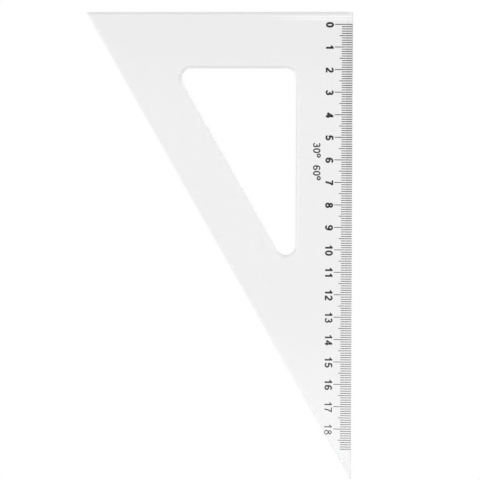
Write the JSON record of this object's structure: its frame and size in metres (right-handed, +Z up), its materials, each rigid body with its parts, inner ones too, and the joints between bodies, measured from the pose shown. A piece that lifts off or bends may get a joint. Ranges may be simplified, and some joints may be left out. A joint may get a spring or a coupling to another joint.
{
  "type": "set square",
  "caption": "Flat clear plastic set square of 30, 60 and 90 degrees with a triangular window and a centimetre scale along its bevelled long leg.",
  "frame": {"origin": "centre of the plate's bounding box, on its underside, which is the middle of the hypotenuse", "axes": "+Y along the long leg towards the right-angled corner, +X along the short leg towards the graduated edge, +Z up out of the bevelled face, from which the scale reads the right way round"},
  "size_m": [0.12, 0.2078, 0.002],
  "materials": {
    "clear_plastic": "clear polystyrene, moulded, glossy",
    "print_film": "black stamped film"
  },
  "bodies": {
    "root": {"plate": "clear_plastic", "centimetre_lines": "print_film", "half_centimetre_lines": "print_film", "millimetre_lines": "print_film"}
  },
  "joints": []
}
